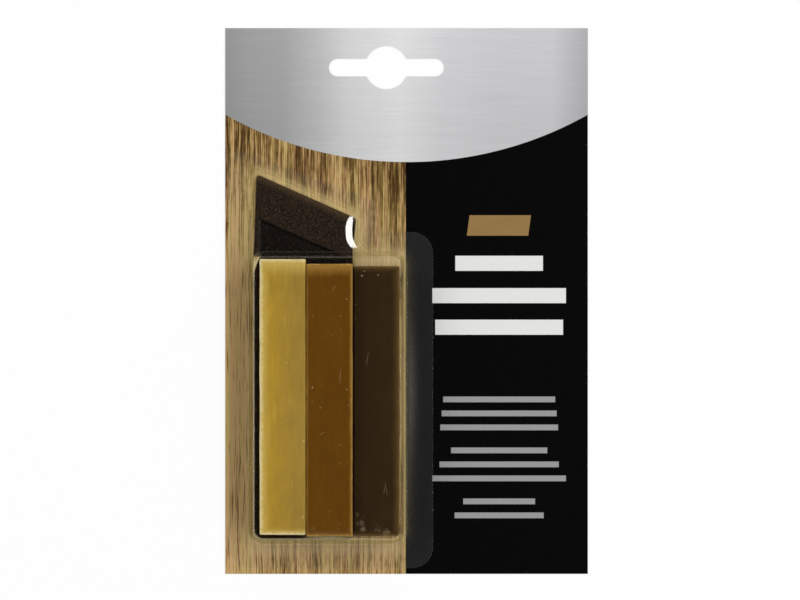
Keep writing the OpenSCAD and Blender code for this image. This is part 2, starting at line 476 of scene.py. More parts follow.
class ApplicatorProperties(bpy.types.PropertyGroup):
    """The flat black applicator, in millimetres."""

    edge_soft: number("Edge softness", "Radius of its moulded edges", 0.2)
    plastic: colour("Plastic", "Tone of the black plastic", ink(20, 13, 6))


class BlisterProperties(bpy.types.PropertyGroup):
    """The clear formed film, in millimetres."""

    thickness: number("Thickness", "Thickness of the film", 0.38)
    draft: number("Draft", "Angle by which the walls lean", math.radians(6), unit="ROTATION")
    sag: number("Sag", "Slope with which the film sinks beside the blade's short side", 0.315)
    sag_rim: number("Sag rim", "Width of the level rim between the sunken band and the wall", 1.25)
    lift: number("Lift", "Height to which the flange has lifted beside the deep cavity", 0.4)
    mirror: number("Mirror", "Share of light that each face mirrors straight back", 0.06)
    edge_mirror: number("Edge mirror", "Share that a face mirrors more when it is seen from its side", 0.3)
    # Painted highlight: the crest's pale lines on the film's bend over the sticks
    crest: number("Crest", "Share of light that the film scatters at the bend over the sticks", 1.0)
    # The sealed flange's haze, with a painted sheen beside the deep cavity
    haze: number("Seal haze", "Share of light that the sealed flange scatters", 0.03)
    # Painted light: the halo beside the film's walls
    halo: number("Halo", "Share of light that the film scatters beside its walls", 0.3)
    # Painted reflection of the wood in the walls where they are seen from the side
    wall_painted_reflection: number("Wall haze", "Share of light that the film scatters where it is seen from its side", 0.4)
    # Tone of the painted halo and of the walls' painted reflection
    glow: colour("Glow", "Tone of the halo and of the walls", ink(188, 167, 104))
    # The tint at the walls is a painted reflection of the wood
    tint: colour("Tint", "Tone of the film when seen from its side", (0.68, 0.7, 0.46, 1.0))


class StageProperties(bpy.types.PropertyGroup):
    """Camera, lamps and floor."""

    distance: length("Camera distance", "Height of the camera above the card", 2.5, 2)
    view_width: length("View width", "Width of the picture at the card", 0.2228, 4)
    world: number("Room light", "Strength of the light from all round", 0.6)
    overhead: number("Overhead light", "Strength of the light from straight above", 0.02)
    key: number("Key lamp", "Radiance of the soft lamp on the right, in whites", 8.5)
    fill: number("Fill lamp", "Radiance of the soft lamp on the left, in whites", 4.2)


# Card


# Plain printed bars: the height of a bar, its tone, and each (left, foot, right)
BARS = (
    (4.2, ink(226, 226, 224), ((13.6, 8.4, 38.0), (7.2, -0.6, 44.4), (8.0, -9.4, 43.6))),
    (
        1.6,
        ink(150, 150, 150),
        (
            (10.2, -28.2, 41.4), (9.8, -32.1, 41.8), (9.4, -36.0, 42.2), (12.4, -42.4, 39.2),
            (9.2, -46.3, 42.4), (7.2, -50.2, 44.4), (15.8, -56.6, 35.8), (13.4, -60.5, 38.2),
        ),
    ),
)
BADGE = (16.8, 18.2, 33.9, 23.9)
BADGE_LEAN = 0.135
# Sheen of the silver header: shares of the card's width, each with its tone
SHEEN = tuple(
    (place, ink(grey, grey, blue))
    for place, grey, blue in (
        (0.0, 151, 152), (0.06, 160, 161), (0.16, 166, 167), (0.26, 191, 192), (0.34, 213, 214),
        (0.48, 226, 227), (0.6, 211, 213), (0.76, 204, 206), (0.9, 203, 205), (1.0, 174, 176),
    )
)
# Painted light: pale patches painted on the print beside the film's walls, for the halo of light through the film
# there; each is a box of the card, the softness of its border and a share
PAINTED_HALO_BOXES = (
    ((-13.6, 8.0, -0.6, 14.0), 2.4, 0.45),
    ((-14.6, 13.0, -10.4, 24.0), 2.0, 0.3),
    ((-44.0, -70.6, -1.0, -66.0), 1.6, 0.3),
)


def brushed_metal(finish, x, y):
    """Silver header: a soft sheen from side to side, brushed along X. Gives its tone and its lines."""
    across = (x - CARD[0][0]) / (CARD[1][0] - CARD[0][0])
    sheen = finish.node("ShaderNodeValToRGB", {0: across}, stops=SHEEN)
    fine = finish.noise(finish.place, (0.06, 2.1, 0.0), 3.0, 0.7, seed=2.0)
    broad = finish.noise(finish.place, (0.03, 0.7, 0.0), seed=5.0)
    shine = (fine - 0.5) * 0.24 + (broad - 0.5) * 0.09 + (y.most(47.0) - 64.0) * 0.0045 + 1.0
    return finish.shade(sheen, shine), fine


def wood_grain(finish, x, y, card):
    """Printed wood with long fibres along Y: calm at the left, darker and in strong streaks at the top.
    Gives its tone, with a pale halo painted along the blade's slanting edge and beside the film's walls, and its finest
    fibres."""
    sway = finish.noise(finish.place, (0.05, 0.02, 0.0), seed=11.0) - 0.5
    board = finish.vector(x + sway * 2.4, y)
    streaks = finish.noise(board, (0.36, 0.012, 0.0), seed=7.4)
    fibres = finish.noise(board, (1.1, 0.03, 0.0), roughness=0.6, seed=1.7)
    hairs = finish.noise(board, (2.5, 0.08, 0.0), roughness=0.6, seed=9.0)
    breaks = finish.noise(board, (1.5, 0.4, 0.0), seed=15.0)
    hue = finish.noise(board, (0.9, 0.02, 0.0), seed=21.0)
    patches = finish.noise(board, (0.14, 0.05, 0.0), 1.0, seed=3.1)

    calm = x.rise(-31.0, -45.0) * y.rise(36.0, 8.0)
    fair = x.rise(-38.0, -45.0) * y.rise(-4.0, 8.0) * y.rise(42.0, 30.0)
    low = y.rise(-58.0, -70.0)
    gain = y.rise(12.0, 38.0) * 0.14 + calm * 0.8 + 0.94 + low * 0.16
    broad = (streaks - 0.5) * 1.9 + (fibres - 0.5) * 1.7 + (patches - 0.5) * y.rise(24.0, 40.0)
    fine = (hairs - 0.5) * (calm * 0.5 + 3.0) + (breaks - 0.5) * (0.9 - calm * 0.7)
    depth = (broad * (1 - calm * 0.46) + fine) * gain + 0.65
    # The calm left margin is painted lighter: partly the print, and partly painted light that offsets the shadow the
    # sticks cast there
    depth = (depth - y.rise(18.0, 38.0) * 0.32 + calm * 0.37 + fair * 0.04 - low * 0.06) * 2.0
    tone = finish.mix(depth, card.wood_dark, card.wood)
    tone = finish.mix(depth - 1.0, tone, card.wood_pale)
    pink, olive = (1.07, 0.97, 1.0, 1.0), (0.98, 1.02, 0.86, 1.0)
    tone = finish.mix(1.0, tone, finish.mix(hue.rise(0.4, 0.6), pink, olive), "MULTIPLY")

    # Painted light: a pale halo painted along the blade's slanting edge and in boxes beside the film's walls
    above = (y - edge_line(x, 0.0)) * EDGE_COS
    along_edge = (x - TIP[0]).rise(0.8, -0.8) * (x - APEX[0]).rise(-1.0, 0.0)
    painted_halo_share = above.rise(3.2, 0.4) * above.rise(-2.0, -0.5) * along_edge * 0.36
    painted_halo_share = most_of([painted_halo_share] + [finish.box_mask(x, y, box, soft) * share for box, soft, share in PAINTED_HALO_BOXES])
    return finish.mix(painted_halo_share, tone, ink(224, 200, 148)), hairs


def card_material(card):
    """Board with a varnished print in front and bare fibre on its edges and its back."""
    finish = Finish("card_print", {"Specular IOR Level": 0.14})
    x, y, z = finish.split(finish.place)
    front = z.rise(CARD[1][2] - 0.07, CARD[1][2] - 0.03)
    metal, lines = brushed_metal(finish, x, y)
    wood, pores = wood_grain(finish, x, y, card)
    body = finish.mix((x - card.split_line).rise(-0.05, 0.05), wood, ink(1, 1, 1))
    grain = finish.noise(finish.place, (0.12, 3.0, 0.0), 3.0, seed=4.0)
    badge_tone = finish.mix(grain.rise(0.3, 0.7), ink(141, 112, 68), ink(149, 119, 75))
    badge = finish.box_mask(x - (y - BADGE[1]) * BADGE_LEAN, y, BADGE)
    body = finish.mix(badge, body, badge_tone)
    for height, tone, bars in BARS:
        shown = most_of([finish.box_mask(x, y, (left, foot, right, foot + height)) for left, foot, right in bars])
        body = finish.mix(shown, body, tone)

    up = y - card.arc_centre
    silver = ((x * x + up * up) ** 0.5).rise(card.arc_radius + 0.08, card.arc_radius - 0.08)
    fibre = finish.noise(finish.place, 1.4, 5.0, 0.7, seed=6.0)
    flecks = finish.specks(finish.place, 0.8, 0.16, 0.1)
    board = finish.mix(fibre, ink(196, 190, 178), ink(222, 218, 208))
    board = finish.mix(flecks * 0.6, board, ink(140, 128, 110))
    relief = fibre * (1 - front * 0.8) + lines * front * silver * 0.5 + pores * front * 0.1
    return finish.done(
        {
            "Base Color": finish.mix(front, board, finish.mix(silver, body, metal)),
            "Roughness": 0.86 - front * 0.58 + front * silver * 0.06 + (fibre - 0.5) * 0.12,
            "Metallic": front * silver * 0.12,
            "Normal": finish.bump(relief, 0.03, 0.5),
        }
    )


class WAXSET_OT_card(bpy.types.Operator):
    """Print the backing card."""

    bl_idname = "waxset.card"
    bl_label = "Backing card"

    def execute(self, context):
        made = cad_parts["backing_card"]
        made.data.materials.clear()
        made.data.materials.append(card_material(context.scene.waxset_card))
        return {"FINISHED"}


# Applicator


TOOL_LEFT, TOOL_FOOT = TOOL[0][0], TOOL[0][1]
TOOL_TOP = TOOL[1][2]
KNEE = TOOL[1][1] - 21.7
APEX = (TOOL_LEFT + 0.8, TOOL[1][1])
TIP = (TOOL[1][0], KNEE + 9.4)
HANDLE_RIGHT = TOOL_LEFT + 27.5
BLADE_BAND = 10.8
BLADE_FALL = 1.7
PANEL_MARGIN = 1.9
PANEL_DEPTH = 0.6
PANEL_WALL = 0.12
EDGE_SLOPE = (TIP[1] - APEX[1]) / (TIP[0] - APEX[0])
EDGE_COS = 1 / math.hypot(1, EDGE_SLOPE)


def edge_line(x, inset):
    """Height at x of the line that runs inset inside the blade's slanting edge."""
    return APEX[1] - inset / EDGE_COS + (x - APEX[0]) * EDGE_SLOPE


TOOL_CORNERS = (
    (TOOL_LEFT, TOOL_FOOT, 2.0),
    (HANDLE_RIGHT, TOOL_FOOT, 2.0),
    (HANDLE_RIGHT, KNEE, -2.0),
    (TIP[0], TIP[1], 1.2),
    (APEX[0], APEX[1], 0.6),
    (TOOL_LEFT, KNEE, 2.0),
)
PANEL_LEFT, PANEL_RIGHT = TOOL_LEFT + PANEL_MARGIN, HANDLE_RIGHT - PANEL_MARGIN
PANEL_CORNERS = (
    (PANEL_LEFT, TOOL_FOOT + PANEL_MARGIN, 0.5),
    (PANEL_RIGHT, TOOL_FOOT + PANEL_MARGIN, 0.5),
    (PANEL_RIGHT, edge_line(PANEL_RIGHT, BLADE_BAND + 0.5), 0.5),
    (PANEL_LEFT, edge_line(PANEL_LEFT, BLADE_BAND + 0.5), 0.5),
)


def applicator_mesh(look):
    """Flat tool with soft edges, a tapering blade and a sunken panel."""
    edge, panel = Outline(TOOL_CORNERS), Outline(PANEL_CORNERS)

    def height(points, distances):
        outside, in_panel = distances
        depth = (edge_line(points[:, 0], 0.0) - points[:, 1]) * EDGE_COS
        taper = ramp(depth, BLADE_BAND, 0)
        taper = BLADE_FALL * np.where(taper < 0.04, taper * taper * 12.5, taper - 0.02)
        wall = ramp(in_panel, -PANEL_WALL, 0)
        sunk = PANEL_DEPTH * (1 - wall * wall * (3 - 2 * wall))
        return TOOL_TOP - np.maximum(taper, 0) - sunk - round_over(outside, look.edge_soft)

    rings = [closed(edge.ring(-look.edge_soft * (1 - math.cos(a)))) for a in np.radians((22, 45, 67, 90))]
    rings += [closed(panel.ring(-PANEL_WALL * share)) for share in (0.0, 0.25, 0.5, 0.75, 1.0, 2.5)]
    across = np.linspace(TOOL_LEFT + 0.9, TIP[0] - 0.6, 24)
    for inset in (0.1, -0.2, -0.45):
        rings.append(line(np.column_stack((across, edge_line(across, BLADE_BAND + inset)))))
    grid = grid_points(TOOL[0], TOOL[1], 2.4)
    grid = grid[(edge.outside(grid) < -0.8) & (abs(panel.outside(grid)) > 0.5)]
    corners, triangles = plan(edge.ring(0.0), rings, grid)
    top, normals = normals_of(height, corners, (edge, panel))
    under = np.column_stack((corners, np.full(len(corners), TOOL[0][2])))
    down = np.tile((0.0, 0.0, -1.0), (len(corners), 1))
    return sheet_solid("applicator_tool", triangles, np.column_stack((corners, top)), under, normals, down)


def plastic_material(look):
    """Black moulded plastic with a fine grain, pale dust, light scuffs and a painted shadow line along the step from
    the blade down to the panel.
    """
    finish = Finish("black_plastic", {"Specular IOR Level": 0.07})
    x, y, z = finish.split(finish.place)
    cloud = finish.noise(finish.place, 0.35, 3.0, seed=3.0)
    grain = finish.noise(finish.place, (2.4, 3.0, 2.4), roughness=0.6, seed=8.0)
    dust = finish.specks(finish.place, 1.1, 0.2, 0.22).most(finish.specks(finish.place, 2.4, 0.34, 0.3) * 0.8)
    below = (edge_line(x, BLADE_BAND) - y) * EDGE_COS
    worn = below.rise(-BLADE_BAND + 2.4, -BLADE_BAND + 0.2)
    sunk = z.rise(TOOL_TOP - 0.3, TOOL_TOP - 0.5) * below.rise(0.2, 0.4)
    # Painted shadow: a dark line along the step where the blade's sloping band meets the panel
    step = below.rise(-0.05, 0.2) * below.rise(0.85, 0.6) * (x - TOOL_LEFT).rise(1.7, 2.0)
    tone = finish.mix(cloud, look.plastic, ink(16, 11, 7))
    for share, paint in (
        (grain.rise(0.44, 0.64) * 0.6, ink(66, 47, 29)),
        (worn * 0.48, ink(84, 66, 42)),
        (sunk * 0.8, ink(6, 3, 1)),
        (step * 0.9, ink(3, 2, 1)),
        (dust * 0.4, ink(128, 112, 88)),
    ):
        tone = finish.mix(share, tone, paint)
    roughness = (cloud - 0.5) * 0.2 + 0.46
    return finish.done({"Base Color": tone, "Roughness": roughness, "Normal": finish.bump(grain, 0.03, 0.6)})


class WAXSET_OT_applicator(bpy.types.Operator):
    """Model the flat applicator with its tapering blade."""

    bl_idname = "waxset.applicator"
    bl_label = "Applicator"

    def execute(self, context):
        look = context.scene.waxset_applicator
        mesh = applicator_mesh(look)
        mesh.materials.append(plastic_material(look))
        piece(mesh, "applicator", "black_plastic", "applicator")
        return {"FINISHED"}


# Wax sticks


def node_group(name, sockets):
    """An empty tree of geometry nodes, and its inputs by name."""
    group = bpy.data.node_groups.new(name, "GeometryNodeTree")
    for socket, kind in sockets.items():
        group.interface.new_socket(socket, in_out="INPUT", socket_type="NodeSocket" + kind)
    group.interface.new_socket("Geometry", in_out="OUTPUT", socket_type="NodeSocketGeometry")
    tree = Tree(group)
    first = tree.node("NodeGroupInput")
    return tree, {socket: first.also(socket) for socket in sockets}


def wax_bar_nodes():
    """Geometry nodes of a cast bar: rounded edges, shallow dents and chips, all cut inwards from its box."""
    tree, given = node_group("wax bar", {
        "Size": "Vector", "Middle": "Vector", "Edge Radius": "Float", "Waviness": "Float", "Chip Depth": "Float",
        "Mesh Step": "Float", "Seed": "Float", "Material": "Material",
    })
    size, radius, seed = given["Size"], given["Edge Radius"], given["Seed"]
    cube = {"Size": size}
    for axis, side in zip("XYZ", tree.split(size)):
        cube["Vertices " + axis] = side / given["Mesh Step"] + 1
    place = tree.node("GeometryNodeInputPosition")
    half = tree.vector_math("SCALE", size, scale=0.5)
    core = tree.vector_math("SUBTRACT", half, tree.vector(radius, radius, radius))
    back = tree.vector_math("SCALE", core, scale=-1.0)
    inner = tree.vector_math("MINIMUM", tree.vector_math("MAXIMUM", place, back), core)
    out = tree.vector_math("NORMALIZE", tree.vector_math("SUBTRACT", place, inner))
    skin = tree.vector_math("ADD", inner, tree.vector_math("SCALE", out, scale=radius))

    broad = tree.noise(skin, 120.0, seed=seed)
    fine = tree.noise(skin, 900.0, seed=seed + 3.0)
    chips = tree.noise(skin, 330.0, 3.0, 0.6, seed=seed + 7.0)
    bite = tree.noise(skin, 1500.0, 1.0, seed=seed + 9.0)
    edge = (1 - most_of(tree.split(tree.vector_math("ABSOLUTE", out)))).rise(0.02, 0.22)
    dents = (broad.rise(0.25, 0.75) * 0.7 + fine * 0.3) * given["Waviness"]
    nicks = chips.rise(0.56, 0.68) * (0.55 + bite * 0.45) + fine.rise(0.3, 0.75) * 0.22
    nicks = edge * given["Chip Depth"] * nicks
    cut = tree.vector_math("SCALE", out, scale=(dents + nicks) * -1.0)
    moved = tree.vector_math("ADD", tree.vector_math("ADD", skin, cut), given["Middle"])
    bar = tree.node("GeometryNodeSetPosition", {"Geometry": tree.node("GeometryNodeMeshCube", cube), "Position": moved})
    bar = tree.node("GeometryNodeSetShadeSmooth", {0: bar, "Shade Smooth": True})
    bar = tree.node("GeometryNodeRealizeInstances", {0: bar})
    bar = tree.node("GeometryNodeSetMaterial", {"Geometry": bar, "Material": given["Material"]})
    tree.node("NodeGroupOutput", {0: bar})
    return tree.nodes


def crumb_nodes():
    """Geometry nodes that scatter crumbs on the upward faces of a stick, most of them along one side."""
    tree, given = node_group("wax crumbs", {
        "Geometry": "Geometry", "Side": "Float", "Band": "Float", "Density": "Float", "Crumb Size": "Float",
        "Seed": "Int", "Material": "Material",
    })
    seed = given["Seed"]
    place = tree.node("GeometryNodeInputPosition")
    up = tree.split(tree.node("GeometryNodeInputNormal"))[2]
    near = 1 - (abs(tree.split(place)[0] - given["Side"]) / given["Band"]).least(1.0)
    clumps = tree.noise(place, 160.0, 1.0, seed=5.0).rise(0.48, 0.66)
    density = (near * near * clumps + 0.04) * up.rise(0.93, 0.97) * given["Density"]
    points = tree.node(
        "GeometryNodeDistributePointsOnFaces", {"Mesh": given["Geometry"], "Density": density, "Seed": seed}
    )
    crumb = tree.node("GeometryNodeMeshIcoSphere", {"Radius": given["Crumb Size"], "Subdivisions": 2})
    turn, size = (
        tree.node("FunctionNodeRandomValue", {0: low, 1: high, "Seed": draw}, data_type="FLOAT_VECTOR")
        for low, high, draw in (
            ((0.0, 0.0, 0.0), (0.4, 0.4, 6.28), seed),
            ((0.25, 0.25, 0.25), (1.0, 0.7, 0.55), seed + 1),
        )
    )
    crumbs = tree.node(
        "GeometryNodeInstanceOnPoints", {"Points": points, "Instance": crumb, "Rotation": turn, "Scale": size}
    )
    crumbs = tree.node("GeometryNodeRealizeInstances", {0: crumbs})
    rough = tree.noise(place, 9000.0, 1.0, seed=2.0) - 0.5
    offset = tree.vector(rough * 0.0002, rough * -0.0002, 0.0)
    crumbs = tree.node("GeometryNodeSetPosition", {"Geometry": crumbs, "Offset": offset})
    crumbs = tree.node("GeometryNodeSetMaterial", {"Geometry": crumbs, "Material": given["Material"]})
    tree.node("NodeGroupOutput", {0: crumbs})
    return tree.nodes


def grown(name, group, values, source=None):
    """Mesh that a tree of geometry nodes makes from the source mesh, or from nothing."""
    holder = bpy.data.objects.new(name, source or bpy.data.meshes.new(name + "_start"))
    bpy.context.scene.collection.objects.link(holder)
    modifier = holder.modifiers.new(name, "NODES")
    modifier.node_group = group
    for socket in group.interface.items_tree:
        if socket.item_type == "SOCKET" and socket.in_out == "INPUT" and socket.name in values:
            modifier[socket.identifier] = values[socket.name]
    bpy.context.view_layer.update()
    evaluated = holder.evaluated_get(bpy.context.evaluated_depsgraph_get())
    mesh = bpy.data.meshes.new_from_object(evaluated)
    mesh.name = name
    holder.modifiers.remove(modifier)
    bpy.data.objects.remove(holder)
    return mesh


def scratch(x, y, start_x, start_y, end_x, end_y, width=0.09):
    """1 on a fine straight scratch from start to end, fading at both of its ends."""
    run_x, run_y = end_x - start_x, end_y - start_y
    size = math.hypot(run_x, run_y)
    along = ((x - start_x) * run_x + (y - start_y) * run_y) / (size * size)
    away = abs((x - start_x) * run_y - (y - start_y) * run_x) / size
    return away.rise(width, width * 0.3) * (abs(along - 0.5)).rise(0.5, 0.2)


def wax_material(name, box, look):
    """Cast wax: a soft change of tone across the stick, pale edges, mottling, bright specks and hairlines.
    The look gives, for the left, right, foot and head, the width of the rim, a painted edge highlight with a glow of
    light through the thin wax, and the share of the thin pale line, which is partly wear and partly painted highlight."""
    finish = Finish(
        name,
        {
            "Subsurface Weight": 0.25,
            "Subsurface Scale": 0.002,
            "Subsurface Radius": (1.0, 0.6, 0.25),
            "Specular IOR Level": 0.06,
        },
    )
    x, y, z = finish.split(finish.place)
    (left, foot, _), (right, head, top) = box
    below = (top - z) * 0.8
    slanted = finish.vector(x + z * 1.7, y + z * 1.3)
    wobble = finish.noise(finish.place, 0.22, 3.0, seed=2.0)
    mottle = finish.noise(finish.place, (0.5, 0.16, 0.5), 4.0, 0.6, seed=6.0)
    cloud = finish.noise(finish.place, (0.16, 0.05, 0.16), seed=12.0)
    drawn = finish.noise(finish.place, (1.6, 0.12, 1.6), 3.0, 0.65, seed=16.0)
    broken = finish.noise(finish.place, 0.9, 3.0, 0.7, seed=27.0)
    across = (x - left) / (right - left) + (wobble - 0.5) * 0.5
    tone = finish.mix(across.rise(0.1, 0.95), look["face"], look["far"])
    light = ((mottle - 0.5) * 0.24 + (cloud - 0.5) * 0.2 + (drawn - 0.5) * 0.16) * look["mottling"] + 1.0
    tone = finish.shade(tone, light)

    # Painted light: the rim is a painted edge highlight with a glow of light through the thin wax, and the worn line is
    # partly wear and partly painted highlight
    rim, worn = [], []
    for distance, width, share in zip((x - left, right - x, y - foot, head - y), look["rim_highlight_widths"], look["edges"]):
        inward = distance + below
        if width:
            rim.append(inward.rise(width * (0.4 + wobble * 0.8 + drawn * 0.5), 0.0))
        if share:
            worn.append(inward.rise((broken.rise(0.4, 0.62) * 0.4 + 0.6) * look["wear"], 0.1) * share)
    tone = finish.mix(most_of(rim) * 0.9, tone, look["rim"])
    tone = finish.mix(most_of(worn), tone, look["edge"])

    dots = [finish.specks(slanted, 0.42, 0.12, look["specks"]), finish.specks(slanted, 0.9, 0.13, look["specks"] * 0.6)]
    marks = [most_of(dots) * 0.6]
    marks += [scratch(x - left, y - foot, *ends) * 0.32 for ends in look["scratches"]]
    for spot_x, spot_y, radius, share in look["spots"]:
        reach = finish.vector_math("LENGTH", finish.vector(x - (left + spot_x), y - (foot + spot_y), below * 0.6))
        spot = (reach + (broken - 0.5) * radius * 2.4).rise(radius, radius * 0.1)
        marks.append(spot * drawn.rise(0.3, 0.6) * share)
    haze = finish.noise(slanted, 0.35, 3.0, seed=41.0).rise(0.56, 0.75)
    marks.append(haze * (y - foot).rise(9.0, 0.5) * look["bloom"])
    tone = finish.mix(most_of(marks), tone, finish.mix(0.55, look["rim"], ink(226, 208, 168)))
    relief = finish.bump(mottle * 0.6 + wobble * 0.4, 0.05, 0.5)
    return finish.done({"Base Color": tone, "Roughness": (mottle - 0.5) * 0.25 + 0.5, "Normal": relief})


# What sets the sticks apart. Left and right move a side of the box, side is the one that the crumbs lie along,
# a scratch is (x, y, x, y), and a spot is (x, y, radius, share), all in millimetres from the left and the foot.
# The rim tone paints the highlight on the edges, and edge is the tone of the thin line, partly wear and partly painted
# highlight
STICKS = {
    "light": {
        "box": LIGHT, "seed": 1, "far": ink(154, 125, 53), "rim": ink(200, 174, 92), "edge": ink(222, 208, 164),
        "rim_highlight_widths": (3.2, 0.0, 2.4, 5.2), "edges": (0.9, 0.0, 0.85, 0.8), "wear": 1.7, "specks": 0.1, "bloom": 0.1,
        "mottling": 1.8, "left": 0.0, "right": 0.06, "side": 1, "band": 3.0, "density": 2.2e5, "size": 0.13,
        "scratches": ((4.1, 31.0, 4.5, 37.5), (9.3, 12.0, 9.0, 15.4), (6.8, 58.0, 7.4, 61.0)),
        "spots": ((12.2, 5.0, 0.5, 0.4),),
    },
    "medium": {
        "box": MEDIUM, "seed": 5, "far": ink(96, 60, 4), "rim": ink(156, 116, 48), "edge": ink(190, 160, 104),
        "rim_highlight_widths": (0.7, 1.1, 1.3, 4.2), "edges": (0.0, 0.2, 0.55, 0.7), "wear": 0.8, "specks": 0.1, "bloom": 0.1,
        "mottling": 1.5, "left": -0.06, "right": 0.06, "side": 1, "band": 2.5, "density": 6.0e5, "size": 0.14,
        "scratches": ((7.3, 67.8, 8.1, 69.9), (3.4, 28.0, 5.2, 29.1), (9.2, 42.0, 9.6, 46.8)),
        "spots": (
            (12.8, 16.5, 0.45, 0.8), (12.7, 13.8, 0.3, 0.5), (12.8, 23.5, 0.3, 0.45), (12.7, 38.0, 0.35, 0.5),
        ),
    },
    "dark": {
        "box": DARK, "seed": 11, "far": ink(47, 33, 10), "rim": ink(82, 60, 26), "edge": ink(116, 92, 56),
        "rim_highlight_widths": (0.0, 2.4, 1.6, 2.0), "edges": (0.0, 0.5, 0.7, 0.7), "wear": 1.0, "specks": 0.03, "bloom": 0.2,
        "mottling": 1.7, "left": -0.06, "right": 0.0, "side": 0, "band": 2.5, "density": 5.0e5, "size": 0.17,
        "scratches": ((9.6, 10.8, 8.7, 15.6), (8.5, 11.4, 8.7, 14.0), (3.6, 47.0, 4.3, 51.5)),
        "spots": (
            (2.4, 72.3, 0.36, 0.9), (3.1, 73.5, 0.28, 0.8), (2.0, 3.4, 1.4, 0.3), (2.7, 2.0, 1.1, 0.34),
            (9.4, 1.2, 1.4, 0.3), (1.4, 5.8, 0.9, 0.22),
        ),
    },
}


class WAXSET_OT_sticks(bpy.types.Operator):
    """Cast the three wax sticks and their crumbs."""

    bl_idname = "waxset.sticks"
    bl_label = "Wax sticks"

    def execute(self, context):
        look = context.scene.waxset_sticks
        bar, crumbs = wax_bar_nodes(), crumb_nodes()
        for name, stick in STICKS.items():
            slot = name + "_wax"
            wax = wax_material(slot, stick["box"], {**stick, "face": getattr(look, slot)})
            low, high = stick["box"] + np.array(((stick["left"], 0, 0), (stick["right"], 0, 0)))
            shape = {
                "Size": tuple((high - low) * MM), "Middle": tuple((high + low) / 2 * MM),
                "Edge Radius": look.edge_radius, "Waviness": look.waviness, "Chip Depth": look.chip_depth,
                "Mesh Step": look.mesh_step, "Seed": float(stick["seed"]), "Material": wax,
            }
            spread = {
                "Side": float(stick["box"][stick["side"]][0] * MM), "Band": stick["band"] * MM,
                "Density": stick["density"], "Crumb Size": stick["size"] * MM, "Seed": stick["seed"],
                "Material": wax,
            }
            mesh = grown("wax_bar_" + name, bar, shape)
            scatter = grown("wax_crumbs_" + name, crumbs, spread, mesh.copy())
            piece(mesh, name + "_stick", slot, "wax_stick_" + name)
            if len(scatter.polygons):
                piece(scatter, name + "_stick", slot)
        return {"FINISHED"}


# Blister


FILM_FRONT = FILM[1][2]
SHALLOW_FRONT = TOOL_TOP + 1.4
FLANGE_TOP = CARD[1][2] + 0.4
FOOT_RADIUS = 0.35
DEEP_EDGE = 0.5
SHALLOW_EDGE = 0.4
DEEP_ROUND = 2.8
DEEP_LEFT, DEEP_RIGHT = TOOL_LEFT, DARK[1][0] + 0.55
DEEP_FOOT, DEEP_HEAD = DARK[0][1] - 0.81, LIGHT[1][1] + 0.8
DEEP_CORNERS = (
    (DEEP_LEFT, DEEP_FOOT, DEEP_ROUND),
    (DEEP_RIGHT, DEEP_FOOT, DEEP_ROUND),
    (DEEP_RIGHT, DEEP_HEAD, DEEP_ROUND),
    (DEEP_LEFT, DEEP_HEAD, DEEP_ROUND),
)
SHALLOW_LEFT, SHALLOW_HEAD = TOOL_LEFT - 0.6, TIP[1] + 1.16
SHALLOW_CORNERS = (
    (SHALLOW_LEFT, DEEP_HEAD - 2.4, 1.6),
    (DEEP_RIGHT - DEEP_ROUND, DEEP_HEAD - 2.4, 1.6),
    (DEEP_RIGHT - DEEP_ROUND, DEEP_HEAD + 0.89, 1.1),
    (TIP[0] - 0.56, DEEP_HEAD + 0.89, -6.0),
    (TIP[0] + 0.6, SHALLOW_HEAD, 1.6),
    (SHALLOW_LEFT, SHALLOW_HEAD - (TIP[0] + 0.6 - SHALLOW_LEFT) * EDGE_SLOPE, 1.6),
)
SAG_MIDDLE = (TIP[0] - 3.0, TIP[1] - 2.9)
FLANGE_CORNERS = (
    (FILM[0][0], FILM[0][1], 6.0),
    (FILM[1][0], FILM[0][1], 6.0),
    (FILM[1][0], DEEP_HEAD + 6.7, 6.0),
    (TIP[0] + 5.6, DEEP_HEAD + 6.7, -2.0),
    (TIP[0] + 5.6, TIP[1] + 4.9, 3.0),
    (FILM[0][0], FILM[1][1], 3.0),
)
# Half the length over which the flange has lifted off the card beside the deep cavity
LIFT_HALF = 46


class Wall:
    """Section of a cavity's wall: a round edge, a leaning side and a fillet at its foot."""

    def __init__(self, front, edge, draft):
        self.front, self.edge, self.draft = front, edge, draft
        self.sin, self.cos = math.sin(draft), math.cos(draft)
        self.edge_start = -edge * (1 - self.sin) / self.cos

    def foot(self, base, front):
        """Distance and height of the fillet's centre over a base, and the distance at which the fillet starts."""
        level = base + FOOT_RADIUS
        middle = (FOOT_RADIUS + (front - level) * self.sin) / self.cos
        return middle, level, middle - FOOT_RADIUS * self.cos

    def height(self, distance, base, drop):
        """Height of the film's outer face at a distance from the outline, over a base, with its front dropped."""
        front = self.front - drop
        along = distance - self.edge_start
        middle, level, start = self.foot(base, front)
        bend = front - self.edge + np.sqrt(np.maximum(self.edge**2 - along**2, 0))
        fillet = level - np.sqrt(np.maximum(FOOT_RADIUS**2 - (middle - distance) ** 2, 0))
        return np.select(
            (along < 0, along <= self.edge * self.cos, distance <= start, distance <= middle),
            (front, np.maximum(bend, base), front - distance * self.cos / self.sin, fillet),
            base,
        )

    def stations(self, *bases):
        """Distances at which the wall's section bends."""
        turn = math.pi / 2 - self.draft
        found = [self.edge_start - back for back in (0.5, 0.25, 0.08)]
        found += [self.edge_start + self.edge * math.sin(turn * k / 9) for k in range(10)]
        bend_end = found[-1]
        for base in bases:
            middle, _, start = self.foot(base, self.front)
            found += [start * k / 4 + bend_end * (1 - k / 4) for k in range(1, 4)]
            found += [middle - FOOT_RADIUS * math.sin(turn * (1 - k / 6)) for k in range(7)]
            found += [middle + 0.1, middle + 0.3]
        return sorted(found)


